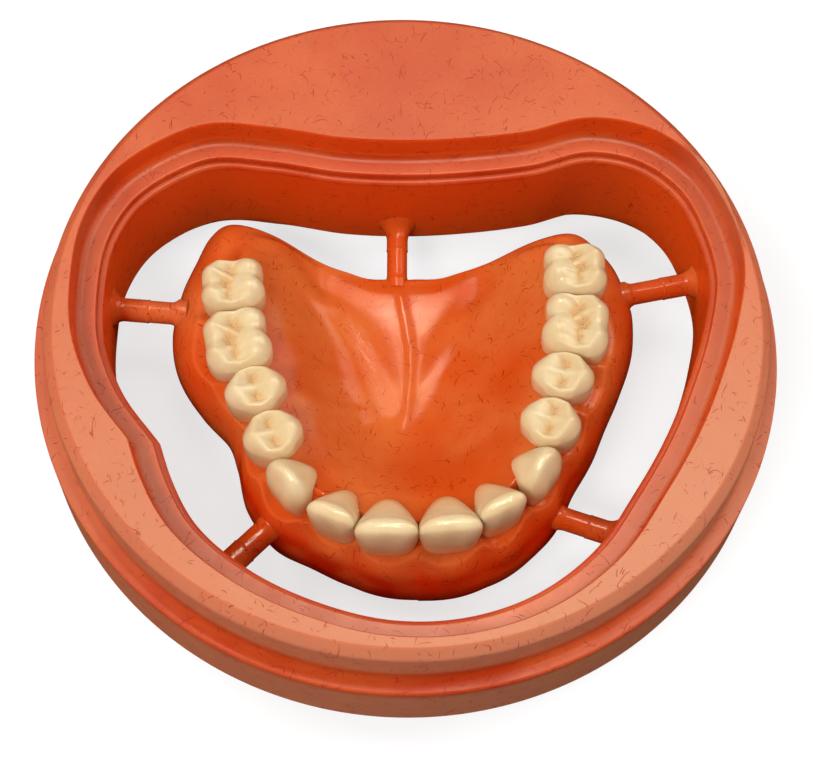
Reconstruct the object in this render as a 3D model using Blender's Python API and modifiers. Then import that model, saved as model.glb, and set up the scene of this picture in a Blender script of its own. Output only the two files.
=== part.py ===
"""A milled upper denture, still held in the acrylic milling disc it was cut from.

The disc is a 98.5 mm blank with a 10 mm clamping flange. A stepped window has been milled
through it, round a full upper denture that stands teeth up. Five turned connector bars join
the ring that is left to the denture base. Fourteen teeth stand in sockets in that base.

Lengths in this file are millimetres, and MM turns them into metres when a mesh is made.
The origin is the middle of the disc's underside, +X is to the right, +Y to the back, +Z up.
"""

import math

import bmesh
import bpy
import numpy as np
from mathutils import Matrix, Vector

MM = 0.001
GAP = 0.3  # kept between solids that touch on the real object

# Milling disc
DISC_HEIGHT = 25.4
DISC_MIDDLE = DISC_HEIGHT / 2
FLANGE_RADIUS = 49.25
FLANGE_HALF_HEIGHT = 5.0
FLANGE_CHAMFER = 0.3
BODY_RADIUS = 47.1
GROOVE_RADIUS = 1.0  # cove where the body rises out of the flange
BODY_BEVEL = 1.3
DISC_STEPS = 72

# Window through the disc. Its walls step outwards towards both faces.
# Heights of the ledge and the terrace from the disc's middle, above it and below it.
LEDGE_ABOVE_MIDDLE = 7.5
TERRACE_ABOVE_MIDDLE = 8.6
LEDGE_BELOW_MIDDLE = 6.2
TERRACE_BELOW_MIDDLE = 7.3
LEDGE_WIDTH = 0.8
TERRACE_WIDTH = 3.7
COVE_RADIUS = 1.1
WINDOW_DIRECTIONS = 72
# Deep wall of the window, anticlockwise from the sharp corner at the front left.
WINDOW_CORNER = (-30.8, -18.4)
WINDOW_WALL = (
    WINDOW_CORNER,
    (-29.0, -22.9),
    (-25.6, -28.7),
    (-18.5, -34.6),
    (-9.5, -38.6),
    (0.0, -40.5),
    (8.5, -39.8),
    (16.5, -36.8),
    (24.5, -30.3),
    (29.6, -22.3),
    (33.8, -14.3),
    (36.9, -6.2),
    (39.1, 1.5),
    (40.1, 9.5),
    (38.8, 15.6),
    (35.8, 22.0),
    (31.0, 25.9),
    (24.6, 27.2),
    (16.4, 24.6),
    (8.0, 23.0),
    (0.0, 22.1),
    (-10.0, 22.0),
    (-20.0, 23.2),
    (-28.0, 23.2),
    (-33.0, 20.5),
    (-37.0, 16.7),
    (-39.8, 10.5),
    (-40.3, 3.0),
    (-39.4, -4.5),
    (-36.5, -11.2),
    WINDOW_CORNER,
)

# Where the denture is nested in the disc. Its own origin is on the biting plane.
NEST_PLACE = (-0.26, 0.0, 23.3)
NEST_TURN = math.radians(4.9)
NEST_TILT = math.radians(-1.92)

# Denture base, in the denture's own frame: +X right, +Y back, 0 at the biting plane.
# Its sections run out from BASE_CENTRE, at angles counted from the front midline.
BASE_CENTRE = (0.0, -6.0)
BASE_SECTIONS = 56
# Crest of the ridge that carries the teeth, right half, front to back.
RIDGE_LINE = (
    (0.0, -28.2),
    (3.9, -27.8),
    (10.2, -25.4),
    (15.4, -21.2),
    (18.0, -15.5),
    (20.0, -9.3),
    (22.3, -2.0),
    (23.2, 6.5),
    (24.0, 12.5),
    (23.6, 17.0),
)
# Angle from the front midline in degrees, outline radius on the left and on the right.
OUTLINE = (
    (0, 26.9, 27.0),
    (15, 26.4, 27.2),
    (30, 25.9, 26.9),
    (45, 26.8, 26.3),
    (57, 26.4, 25.4),
    (70, 24.9, 26.0),
    (80, 25.2, 26.8),
    (90, 28.5, 28.7),
    (102, 32.5, 31.7),
    (115, 34.9, 34.0),
    (127, 36.3, 34.7),
    (134, 37.2, 33.9),
    (139, 36.7, 30.7),
    (145, 32.7, 26.9),
    (152, 26.1, 23.7),
    (162, 21.6, 20.7),
    (180, 19.5, 19.5),
)
# Angle, then how far the shoulder of the gum lies inside the outline, its height above the
# lowest point of the border, and the width of the border.
SHOULDER = (
    (0, 2.6, 12.2, 3.0),
    (45, 2.6, 11.9, 3.0),
    (90, 3.0, 11.2, 3.0),
    (115, 6.2, 10.4, 3.2),
    (130, 5.0, 7.5, 3.0),
    (140, 2.6, 4.0, 2.6),
    (150, 1.2, 2.6, 1.6),
    (180, 1.0, 2.4, 1.4),
)
VAULT_DEPTH = -14.4
RIDGE_HEIGHT = -6.9
TUBEROSITY_HEIGHT = -9.5
PALATE_THICKNESS = 2.4
RIDGE_EXTRA = 3.2  # how much thicker the base is under the teeth
SLOPE_START = 2.6
SLOPE_LENGTH_SIDE = 11.5
SLOPE_LENGTH_FRONT = 19.0
PALATE_RINGS = (0.16, 0.34, 0.52, 0.68, 0.82, 0.92, 1.0)
FLANGE_RINGS = ((0.45, 0.86), (0.85, 0.60), (1.0, 0.36), (0.94, 0.14), (0.55, 0.01))

# Teeth, right side, front to back: name, shape, middle of the biting edge or table (x, y),
# angle of the tooth's outer face from the front midline, width along the arch, depth across
# it, and height of the biting edge above the biting plane.
TEETH = (
    ("central_incisor", "incisor", (3.9, -30.2), 3, 7.4, 1.0, 0.5),
    ("lateral_incisor", "incisor", (10.6, -27.9), 25, 6.2, 0.92, 0.2),
    ("canine", "canine", (16.1, -23.2), 50, 6.9, 1.05, 0.3),
    ("first_premolar", "premolar", (17.7, -15.8), 72, 6.6, 8.0, -0.3),
    ("second_premolar", "premolar", (19.8, -9.3), 76, 6.4, 8.1, -0.5),
    ("first_molar", "molar", (22.0, -1.7), 82, 8.7, 9.2, -0.6),
    ("second_molar", "molar", (22.6, 6.8), 88, 7.7, 8.6, -0.6),
)
TOOTH_SIDES = 14
FRONT_TAPER = 0.35
BACK_TAPER = 0.15
# Tooth sections from root end to biting end. Front teeth: height, width factor, outer face,
# inner face. Back teeth: height, width factor, depth factor.
FRONT_SECTIONS = (
    (-10.6, 0.42, -1.0, -3.9),
    (-8.2, 0.68, 0.0, -5.4),
    (-5.2, 0.86, 0.5, -5.5),
    (-2.6, 0.98, 0.4, -3.6),
    (-0.9, 1.0, 0.1, -1.8),
    (0.0, 0.9, -0.3, -1.0),
)
BACK_SECTIONS = (
    (-9.6, 0.50, 0.50),
    (-6.8, 0.74, 0.80),
    (-4.2, 0.92, 0.98),
    (-2.2, 1.0, 0.98),
    (-0.8, 0.92, 0.86),
)
# Cusps of a back tooth, as fractions of half its width and half its depth.
CUSPS = {
    "premolar": ((0.0, 0.52), (0.0, -0.50)),
    "molar": ((-0.46, 0.52), (0.46, 0.52), (-0.42, -0.50), (0.46, -0.46)),
}
CUSP_SPREAD = 0.36
FOSSA_DEPTH = 1.7
TABLE_RINGS = (0.72, 0.42)
CANINE_POINT = 1.0

# Connector bars: name, end at the ring wall, end at the denture, share of the length that is
# the thick collar at the ring.
CONNECTORS = (
    ("connector_rear", (-2.1, 22.1, 9.2), (-1.8, 13.9, 8.4), 0.46),
    ("connector_left", (-40.4, 5.0, 12.0), (-32.6, 4.7, 12.0), 0.50),
    ("connector_right", (39.6, 13.3, 12.0), (30.2, 10.8, 12.0), 0.55),
    ("connector_front_left", (-22.4, -31.5, 10.0), (-17.2, -25.7, 10.0), 0.50),
    ("connector_front_right", (28.6, -24.2, 10.0), (21.9, -22.2, 10.0), 0.55),
)
COLLAR_RADIUS = 1.65
BAR_RADIUS = 1.5
ROOT_RADIUS = 2.2
ROOT_LENGTH = 1.0
COLLAR_STEP = 0.25
BAR_STEPS = 12
TRIM = 1.5  # extra length at both ends, trimmed off along the faces that the bar meets

PINK_ACRYLIC = (0.72, 0.25, 0.15)
BASE_ACRYLIC = (0.70, 0.20, 0.10)
TOOTH_ACRYLIC = (0.84, 0.72, 0.50)


def smoothstep(value):
    value = np.clip(value, 0.0, 1.0)
    return value * value * (3.0 - 2.0 * value)


def curve_through(knots, values, at):
    """Cubic curve through values at rising knots, read at the places in at."""
    knots = np.asarray(knots, float)
    values = np.asarray(values, float)
    slopes = np.gradient(values, knots, axis=0)
    at = np.clip(np.atleast_1d(np.asarray(at, float)), knots[0], knots[-1])
    index = np.clip(np.searchsorted(knots, at) - 1, 0, len(knots) - 2)
    step = knots[index + 1] - knots[index]
    t = (at - knots[index]) / step
    if values.ndim > 1:
        step, t = step[:, None], t[:, None]
    start = (1 + 2 * t) * (1 - t) ** 2 * values[index] + t * (1 - t) ** 2 * step * slopes[index]
    end = t * t * (3 - 2 * t) * values[index + 1] + t * t * (t - 1) * step * slopes[index + 1]
    return start + end


def line_through(points, spacing):
    """The points of a smooth curve through the given ones, about this far apart."""
    points = np.asarray(points, float)
    chords = np.linalg.norm(np.diff(points, axis=0), axis=1)
    knots = np.concatenate([[0.0], np.cumsum(chords)])
    count = int(math.ceil(knots[-1] / spacing)) + 1
    return curve_through(knots, points, np.linspace(0.0, knots[-1], count))


def table_at(table, at):
    table = np.asarray(table, float)
    return curve_through(table[:, 0], table[:, 1:], at)


def make_material(name, colour, roughness):
    material = bpy.data.materials.new(name)
    material.use_nodes = True
    shader = material.node_tree.nodes["Principled BSDF"]
    shader.inputs["Base Color"].default_value = (*colour, 1.0)
    shader.inputs["Roughness"].default_value = roughness
    shader.inputs["Metallic"].default_value = 0.0
    return material


def clear_scene():
    for item in list(bpy.data.objects):
        bpy.data.objects.remove(item, do_unlink=True)
    for group in list(bpy.data.collections):
        bpy.data.collections.remove(group)


def new_collection(name):
    group = bpy.data.collections.new(name)
    bpy.context.scene.collection.children.link(group)
    return group


def new_object(name, mesh, group, material=None):
    item = bpy.data.objects.new(name, mesh)
    group.objects.link(item)
    if material is not None:
        mesh.materials.append(material)
    return item


def shade_round(mesh, degrees=35):
    mesh.shade_smooth()
    mesh.set_sharp_from_angle(angle=math.radians(degrees))


def loft(name, rings, poles=(None, None)):
    """A closed mesh through rings of points, each closed by a pole point or one flat face."""
    shape = bmesh.new()
    rows = [[shape.verts.new(Vector(point) * MM) for point in ring] for ring in rings]
    for low, high in zip(rows, rows[1:]):
        for side in range(len(low)):
            after = (side + 1) % len(low)
            shape.faces.new((low[side], low[after], high[after], high[side]))
    for row, pole in ((rows[0], poles[0]), (rows[-1], poles[1])):
        if pole is None:
            shape.faces.new(row)
            continue
        tip = shape.verts.new(Vector(pole) * MM)
        for side in range(len(row)):
            shape.faces.new((row[side], row[(side + 1) % len(row)], tip))
    bmesh.ops.recalc_face_normals(shape, faces=shape.faces)
    if shape.calc_volume(signed=True) < 0:
        bmesh.ops.reverse_faces(shape, faces=shape.faces)
    mesh = bpy.data.meshes.new(name)
    shape.to_mesh(mesh)
    shape.free()
    return mesh


def turned(name, profile, steps, group, material):
    """A solid turned about Z from (radius, height) points that run top to bottom."""
    mesh = bpy.data.meshes.new(name)
    points = [(radius * MM, 0.0, height * MM) for radius, height in profile]
    mesh.from_pydata(points, [(i, i + 1) for i in range(len(points) - 1)], [])
    item = new_object(name, mesh, group, material)
    screw = item.modifiers.new("Turn", "SCREW")
    screw.axis = "Z"
    screw.steps = steps
    screw.render_steps = steps
    screw.use_merge_vertices = True
    screw.merge_threshold = 1e-6
    return item


def cut(item, cutter, name, operation="DIFFERENCE"):
    boolean = item.modifiers.new(name, "BOOLEAN")
    boolean.operation = operation
    boolean.solver = "EXACT"
    boolean.object = cutter
    cutter.hide_render = True
    cutter.display_type = "WIRE"


# Disc ring


def disc_profile():
    """Outer profile of the blank from the top face's middle, round the edge, to the bottom."""
    flange_top = FLANGE_HALF_HEIGHT
    top = DISC_HEIGHT / 2
    upper = [
        (0.0, top),
        (BODY_RADIUS - BODY_BEVEL, top),
        (BODY_RADIUS, top - BODY_BEVEL),
        (BODY_RADIUS, flange_top + GROOVE_RADIUS),
        (BODY_RADIUS + 0.3 * GROOVE_RADIUS, flange_top + 0.3 * GROOVE_RADIUS),
        (BODY_RADIUS + GROOVE_RADIUS, flange_top),
        (FLANGE_RADIUS - FLANGE_CHAMFER, flange_top),
        (FLANGE_RADIUS, flange_top - FLANGE_CHAMFER),
    ]
    lower = [(radius, -height) for radius, height in reversed(upper)]
    return [(radius, DISC_MIDDLE + height) for radius, height in upper + lower]


def window_outline(offset):
    """The window's wall moved outwards by offset, as one point in each direction."""
    wall = line_through(WINDOW_WALL, 0.15)
    corner_angle = math.atan2(WINDOW_CORNER[1], WINDOW_CORNER[0])
    angles = corner_angle + np.linspace(0.0, 2 * math.pi, WINDOW_DIRECTIONS, endpoint=False)
    outline = []
    for angle in angles:
        outward = np.array([math.cos(angle), math.sin(angle)])
        along = wall @ outward
        across = wall @ np.array([-outward[1], outward[0]])
        if offset == 0.0:
            wall_angles = np.arctan2(wall[:, 1], wall[:, 0])
            turn = np.abs((wall_angles - angle + math.pi) % (2 * math.pi) - math.pi)
            radius = np.hypot(*wall[np.argmin(turn)])
        else:
            near = (np.abs(across) < offset) & (along > 0)
            radius = np.max(along[near] + np.sqrt(offset**2 - across[near] ** 2))
        outline.append(outward * radius)
    return outline


def window_steps(ledge, floor):
    """(distance from the disc's middle, offset of the wall) from the middle to past a face."""
    return (
        (ledge, 0.0),
        (ledge + 0.01, LEDGE_WIDTH),
        (floor, LEDGE_WIDTH),
        (floor + 0.05, TERRACE_WIDTH - COVE_RADIUS),
        (floor + 0.3 * COVE_RADIUS, TERRACE_WIDTH - 0.3 * COVE_RADIUS),
        (floor + COVE_RADIUS, TERRACE_WIDTH),
        (DISC_HEIGHT / 2 + 1.0, TERRACE_WIDTH),
    )


def make_ring(parts, cutters, material):
    ring = turned("disc_frame", disc_profile(), DISC_STEPS, parts, material)
    upper = window_steps(LEDGE_ABOVE_MIDDLE, TERRACE_ABOVE_MIDDLE)
    lower = window_steps(LEDGE_BELOW_MIDDLE, TERRACE_BELOW_MIDDLE)
    steps = [(-height, offset) for height, offset in reversed(lower)] + list(upper)
    rings = [
        [(x, y, DISC_MIDDLE + height) for x, y in window_outline(offset)]
        for height, offset in steps
    ]
    cutter = new_object("window_cutter", loft("window_cutter", rings), cutters)
    cut(ring, cutter, "Window")
    shade_round(ring.data)
    return ring


def make_window_space(cutters):
    """The clear space inside the window's deep wall, which trims the connectors' outer ends."""
    wall = [point * (1 - GAP / np.hypot(*point)) for point in window_outline(0.0)]
    rings = [
        [(x, y, DISC_MIDDLE + height) for x, y in wall]
        for height in (-LEDGE_BELOW_MIDDLE, LEDGE_ABOVE_MIDDLE)
    ]
    return new_object("window_space", loft("window_space", rings), cutters)


# Denture base


def ridge_points():
    right = line_through(RIDGE_LINE, 0.5)
    left = right[:0:-1] * np.array([-1.0, 1.0])
    return np.concatenate([left, right])


def outline_radius(angles):
    radii = table_at(OUTLINE, np.abs(np.degrees(angles)))
    return np.where(angles < 0, radii[:, 0], radii[:, 1])


def ridge_radius(ridge, angle):
    """Distance from the base's centre to the ridge line in a direction, or None past its end."""
    away = ridge - np.array(BASE_CENTRE)
    ridge_angles = np.arctan2(away[:, 0], -away[:, 1])
    if abs(angle) > ridge_angles.max():
        return None
    return float(np.interp(angle, ridge_angles, np.hypot(away[:, 0], away[:, 1])))


def gum_height(ridge, x, y):
    """Height of the polished surface inside the gum's shoulder."""
    distance = np.min(np.hypot(ridge[:, 0] - x, ridge[:, 1] - y))
    angle = math.atan2(x - BASE_CENTRE[0], BASE_CENTRE[1] - y)
    frontness = max(0.0, math.cos(angle)) ** 2
    reach = SLOPE_LENGTH_SIDE + (SLOPE_LENGTH_FRONT - SLOPE_LENGTH_SIDE) * frontness
    behind = smoothstep((y - 10.0) / 8.0)
    crest = RIDGE_HEIGHT + (TUBEROSITY_HEIGHT - RIDGE_HEIGHT) * behind
    return crest + (VAULT_DEPTH - crest) * smoothstep((distance - SLOPE_START) / reach)


def base_thickness(ridge, x, y):
    distance = np.min(np.hypot(ridge[:, 0] - x, ridge[:, 1] - y))
    return PALATE_THICKNESS + RIDGE_EXTRA * math.exp(-((distance / 4.0) ** 2))


def base_section(ridge, angle):
    """One section of the base as (radius, height): over the polished side and back beneath."""
    outline = outline_radius(np.array([angle]))[0]
    inset, rise, border = table_at(SHOULDER, abs(math.degrees(angle)))[0]
    shoulder = outline - inset
    crest = ridge_radius(ridge, angle)
    crest = min(crest, shoulder - 1.0) if crest else 0.86 * shoulder
    out = np.array([math.sin(angle), -math.cos(angle)])

    def top_at(radius):
        x, y = np.array(BASE_CENTRE) + out * radius
        return gum_height(ridge, x, y)

    def under_at(radius):
        x, y = np.array(BASE_CENTRE) + out * radius
        return top_at(radius) - base_thickness(ridge, x, y)

    top = [(crest * part, top_at(crest * part)) for part in PALATE_RINGS]
    top.append((shoulder, top_at(shoulder) - 0.8))
    lowest = top[-1][1] - rise
    flange = [(shoulder + inset * part, lowest + rise * high) for part, high in FLANGE_RINGS]
    inner = outline - border
    trough = under_at(crest)
    inside = [
        (inner + 0.2 * border, lowest + 0.12 * rise),
        (inner, lowest + 0.35 * rise),
        (0.5 * (crest + inner) + 0.3, max(0.8 * trough + 0.2 * lowest, lowest + 0.4 * rise)),
    ]
    inside[2] = (inside[2][0], min(inside[2][1], top_at(inside[2][0]) - 1.8))
    beneath = [(crest * part, under_at(crest * part)) for part in reversed(PALATE_RINGS)]
    return top + flange + inside + beneath


def make_base(parts, cutters, material, nest):
    ridge = ridge_points()
    angles = np.linspace(-math.pi, math.pi, BASE_SECTIONS, endpoint=False)
    sections = [base_section(ridge, angle) for angle in angles]
    cx, cy = BASE_CENTRE
    rings = [
        [
            (cx + radius * math.sin(angle), cy - radius * math.cos(angle), height)
            for angle, (radius, height) in zip(angles, level)
        ]
        for level in zip(*sections)
    ]
    middle = gum_height(ridge, cx, cy)
    poles = ((cx, cy, middle), (cx, cy, middle - PALATE_THICKNESS))
    base = new_object("denture_base", loft("denture_base", rings, poles), parts, material)
    base.parent = nest
    shade_round(base.data, 50)
    # A slightly larger copy, which trims the connectors' inner ends.
    space = new_object("base_space", base.data.copy(), cutters)
    space.parent = nest
    grow = space.modifiers.new("Grow", "DISPLACE")
    grow.mid_level = 0.0
    grow.strength = GAP * MM
    return base, space


# Teeth


def oval(half_width, outer, inner, taper, squareness=2.5):
    """A closed ring round a tooth: along the arch, then across it, outer side positive.

    The inner side is narrower than the outer one by the share taper.
    """
    middle, half = (outer + inner) / 2, (outer - inner) / 2
    ring = []
    for step in range(TOOTH_SIDES):
        angle = 2 * math.pi * step / TOOTH_SIDES
        cos, sin = math.cos(angle), math.sin(angle)
        along = math.copysign(abs(cos) ** (2 / squareness), cos) * half_width
        across = math.copysign(abs(sin) ** (2 / squareness), sin)
        narrowed = 1 - taper * max(0.0, -across)
        ring.append((along * narrowed, middle + across * half))
    return ring


def front_tooth_rings(width, scale, point, grow):
    rings = []
    for height, share, outer, inner in FRONT_SECTIONS:
        half = width / 2 * share + grow
        ring = oval(half, outer * scale + grow, inner * scale - grow, FRONT_TAPER)
        bite = smoothstep((height + 3.0) / 3.0)
        rings.append([(u, v, height - point * bite * abs(u) / half) for u, v in ring])
    return rings


def table_height(shape, u, v):
    """Height of a back tooth's biting surface, with u and v from -1 to 1 across it."""
    height = -FOSSA_DEPTH
    for cusp_u, cusp_v in CUSPS[shape]:
        away = ((u - cusp_u) ** 2 + (v - cusp_v) ** 2) / CUSP_SPREAD**2
        height = max(height, -FOSSA_DEPTH + FOSSA_DEPTH * math.exp(-away))
    return height


def back_tooth_rings(shape, width, depth, grow):
    rings = []
    for height, share_width, share_depth in BACK_SECTIONS:
        half = width / 2 * share_width + grow
        side = depth / 2 * share_depth + grow
        rings.append([(u, v, height) for u, v in oval(half, side, -side, BACK_TAPER)])
    for part in TABLE_RINGS:
        half, side = width / 2 * part, depth / 2 * part
        ring = oval(half, side, -side, BACK_TAPER, 2.2)
        rings.append(
            [(u, v, table_height(shape, 2 * u / width, 2 * v / depth)) for u, v in ring]
        )
    return rings


def tooth_mesh(name, tooth, side, grow=0.0):
    """A tooth in the denture's frame, on the right (side 1) or the left (side -1)."""
    _, shape, place, facing, width, size, lift = tooth
    if shape in CUSPS:
        rings = back_tooth_rings(shape, width, size, grow)
        poles = (None, (0.0, 0.0, -FOSSA_DEPTH))
    else:
        point = CANINE_POINT if shape == "canine" else 0.0
        rings = front_tooth_rings(width, size, point, grow)
        poles = (None, (0.0, -0.6, 0.05))
    if grow:
        rings[0] = [(u, v, height - grow) for u, v, height in rings[0]]
    turn = math.radians(facing)
    along = np.array([math.cos(turn), math.sin(turn)])
    out = np.array([math.sin(turn), -math.cos(turn)])

    def placed(point):
        u, v, height = point
        x, y = np.array(place) + along * u + out * v
        return (side * x, y, height + lift)

    rings = [[placed(point) for point in ring] for ring in rings]
    return loft(name, rings, tuple(pole and placed(pole) for pole in poles))


def make_teeth(parts, cutters, base, material, nest):
    for side, side_name in ((-1, "left"), (1, "right")):
        for tooth in TEETH:
            name = f"tooth_{side_name}_{tooth[0]}"
            item = new_object(name, tooth_mesh(name, tooth, side), parts, material)
            item.parent = nest
            shade_round(item.data, 50)
            socket_name = f"socket_{side_name}_{tooth[0]}"
            socket = new_object(socket_name, tooth_mesh(socket_name, tooth, side, GAP), cutters)
            socket.parent = nest
            cut(base, socket, socket_name)


# Connector bars


def make_connector(parts, material, trims, name, ring_end, denture_end, collar_share):
    start, end = Vector(ring_end) * MM, Vector(denture_end) * MM
    length = (end - start).length / MM
    collar = length * collar_share
    # Heights run from past the denture end, at the top, down to past the ring end.
    profile = (
        (0.0, length + TRIM),
        (BAR_RADIUS, length + TRIM),
        (BAR_RADIUS, collar + COLLAR_STEP),
        (COLLAR_RADIUS, collar),
        (COLLAR_RADIUS, ROOT_LENGTH),
        (ROOT_RADIUS, 0.0),
        (ROOT_RADIUS, -TRIM),
        (0.0, -TRIM),
    )
    bar = turned(name, profile, BAR_STEPS, parts, material)
    bar.location = start
    bar.rotation_euler = (end - start).to_track_quat("Z", "Y").to_euler()
    window_space, base_space = trims
    cut(bar, window_space, "Ring end", "INTERSECT")
    cut(bar, base_space, "Denture end")
    shade_round(bar.data)
    return bar


def build():
    clear_scene()
    parts = new_collection("denture_in_milling_disc")
    cutters = new_collection("cutters")
    ring_acrylic = make_material("ring_acrylic", PINK_ACRYLIC, 0.35)
    base_acrylic = make_material("base_acrylic", BASE_ACRYLIC, 0.2)
    tooth_acrylic = make_material("tooth_acrylic", TOOTH_ACRYLIC, 0.2)
    nest = bpy.data.objects.new("denture_nest", None)
    parts.objects.link(nest)
    turn = Matrix.Rotation(NEST_TURN, 4, "Z") @ Matrix.Rotation(NEST_TILT, 4, "Y")
    nest.matrix_world = Matrix.Translation(Vector(NEST_PLACE) * MM) @ turn
    make_ring(parts, cutters, ring_acrylic)
    base, base_space = make_base(parts, cutters, base_acrylic, nest)
    make_teeth(parts, cutters, base, tooth_acrylic, nest)
    trims = (make_window_space(cutters), base_space)
    for connector in CONNECTORS:
        make_connector(parts, base_acrylic, trims, *connector)


build()
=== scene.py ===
"""The milled upper denture in its milling disc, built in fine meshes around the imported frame.

Lengths are millimetres until a mesh is made. The denture's own frame has +X right, +Y back and
its zero height on the biting plane; NEST_PLACE, NEST_TURN and NEST_TILT put it in the disc.
"""

import math

import bpy
import numpy as np
from mathutils import Matrix, Vector
from mathutils.bvhtree import BVHTree


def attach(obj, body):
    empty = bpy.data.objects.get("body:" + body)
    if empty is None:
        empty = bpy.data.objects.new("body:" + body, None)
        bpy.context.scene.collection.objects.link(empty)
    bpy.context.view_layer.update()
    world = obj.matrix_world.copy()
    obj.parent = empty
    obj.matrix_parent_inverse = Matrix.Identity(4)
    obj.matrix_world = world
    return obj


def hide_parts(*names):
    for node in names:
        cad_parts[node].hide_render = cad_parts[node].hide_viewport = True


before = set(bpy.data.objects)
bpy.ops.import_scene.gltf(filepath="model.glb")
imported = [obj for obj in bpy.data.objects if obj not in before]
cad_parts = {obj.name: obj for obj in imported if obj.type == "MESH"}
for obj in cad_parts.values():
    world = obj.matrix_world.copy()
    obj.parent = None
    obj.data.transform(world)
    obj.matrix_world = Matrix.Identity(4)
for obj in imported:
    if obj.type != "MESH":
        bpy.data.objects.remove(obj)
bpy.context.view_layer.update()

MM = 0.001

# Milling disc
DISC_HEIGHT = 25.4
DISC_MIDDLE = DISC_HEIGHT / 2
FLANGE_RADIUS = 49.25
FLANGE_HALF = 5.0
BODY_RADIUS = 47.1
BODY_BEVEL = 1.3
EDGE_ROUND = 0.35
FINE_ROUND = 0.13
GROOVE_RADIUS = 1.0
RING_DIRECTIONS = 900
FACE_RINGS = 12
# A rounded corner has a point this far before and after it, and this many steps.
ROUND_HOLD = 0.05
ROUND_STEPS = 5
# A profile's end points lie this far beyond its first and last corner.
OUTER_LEAD = 1.0
INNER_LEAD = 0.5

# Window through the disc
LEDGE_HEIGHT = 7.5
TERRACE_HEIGHT = 8.6
LOW_LEDGE_HEIGHT = 6.2
LOW_TERRACE_HEIGHT = 7.3
LEDGE_WIDTH = 0.8
TERRACE_WIDTH = 3.7
WALL_ROUND = 0.55
WALL_WAIST = 1.0
STEP_ROUND = 0.3
COVE_RADIUS = 1.1
WALL_SPACING = 0.12
# Distances outwards from the wall at which the window's outline is worked out.
WALL_OFFSETS = (0.0, LEDGE_WIDTH, 1.6, 2.6, 3.2, TERRACE_WIDTH, TERRACE_WIDTH + INNER_LEAD)
WINDOW_CORNER = (-30.8, -18.4)
WINDOW_WALL = (
    WINDOW_CORNER, (-29.0, -22.9), (-25.6, -28.7), (-18.5, -34.6), (-9.5, -38.6), (0.0, -40.5),
    (8.5, -39.8), (16.5, -36.8), (24.5, -30.3), (29.6, -22.3), (33.8, -14.3), (36.9, -6.2),
    (39.1, 1.5), (40.1, 9.5), (38.8, 15.6), (35.8, 22.0), (31.0, 25.9), (24.6, 27.2),
    (16.4, 24.6), (8.0, 23.0), (0.0, 22.1), (-10.0, 22.0), (-20.0, 23.2), (-28.0, 23.2),
    (-33.0, 20.5), (-37.0, 16.7), (-39.8, 10.5), (-40.3, 3.0), (-39.4, -4.5), (-36.5, -11.2),
    WINDOW_CORNER,
)

# Nesting of the denture in the disc
NEST_PLACE = (-0.26, 0.0, 23.3)
NEST_TURN = math.radians(4.9)
NEST_TILT = math.radians(-1.92)

# Denture base. Directions are counted from the front midline round BASE_CENTRE.
BASE_CENTRE = (0.0, -6.0)
BASE_DIRECTIONS = 720
TOP_RINGS = 120
# Direction in degrees, outline radius on the left and on the right.
OUTLINE = (
    (0, 26.9, 27.0), (15, 26.4, 27.2), (30, 25.9, 26.9), (45, 26.8, 26.3), (57, 26.4, 25.4),
    (70, 24.9, 26.0), (80, 25.2, 26.8), (90, 28.5, 28.7), (102, 32.5, 31.7), (115, 34.9, 34.0),
    (127, 36.3, 34.7), (134, 37.2, 33.9), (139, 36.7, 30.7), (145, 32.7, 26.9), (152, 26.1, 23.7),
    (162, 21.6, 20.7), (180, 19.5, 19.5),
)
# Direction, inset of the gum's shoulder, its rise above the border, width of the border.
SHOULDER = (
    (0, 2.4, 11.4, 3.0), (45, 2.4, 11.1, 3.0), (90, 3.0, 11.0, 3.0), (115, 6.2, 10.4, 3.2),
    (130, 5.0, 7.5, 3.0), (140, 2.6, 4.0, 2.6), (150, 1.2, 2.6, 1.6), (180, 1.0, 2.4, 1.4),
)
# Direction, radius of the palate's floor, radius and height of the margin at the teeth.
PALATE = (
    (0, 9.0, 18.8, -4.9), (12, 8.9, 18.8, -4.9), (30, 8.5, 18.6, -4.9), (42, 8.0, 17.6, -4.9),
    (60, 7.3, 16.2, -5.2), (82, 7.6, 16.1, -5.4), (106, 8.9, 18.1, -5.6), (118, 10.4, 20.8, -5.8),
    (127, 12.2, 23.2, -6.4), (135, 14.8, 25.2, -7.6), (142, 18.0, 26.2, -9.4),
    (148, 21.5, 26.5, -11.8), (154, 23.0, 27.0, -13.2), (162, 23.0, 27.5, -13.5),
    (180, 23.0, 27.5, -13.5),
)
# Direction, height of the gum's outer shoulder.
OUTER_MARGIN = (
    (0, -9.0), (43, -8.7), (63, -7.6), (98, -6.9), (115, -6.9), (124, -7.1), (130, -7.7),
    (136, -8.3), (142, -10.1), (150, -12.8), (160, -13.7), (180, -13.8),
)
FLOOR_HEIGHT = -14.2
PALATE_THICKNESS = 2.4
LEAST_THICKNESS = 1.2
UNDER_RINGS = 40
# The gum between two teeth rises and stands back from the teeth's line.
PAPILLA_RISE = 1.6
SCALLOP = 0.8
WAVE_POWER = 1.2
RIM_RIDGE = 0.06
BORDER_LIFT = 0.6
NECK_SWELL = 0.25
NECK_DIP = 0.3
RECESS = 0.3
PALATAL_PEAK = -2.5
SIDE_PEAK_DROP = 1.1
PALATAL_SLOPE = 0.58
MOST_CREASE = 0.8
SLOPE_LIP = 0.3
BACK_EDGE_RISE = 0.7
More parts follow.
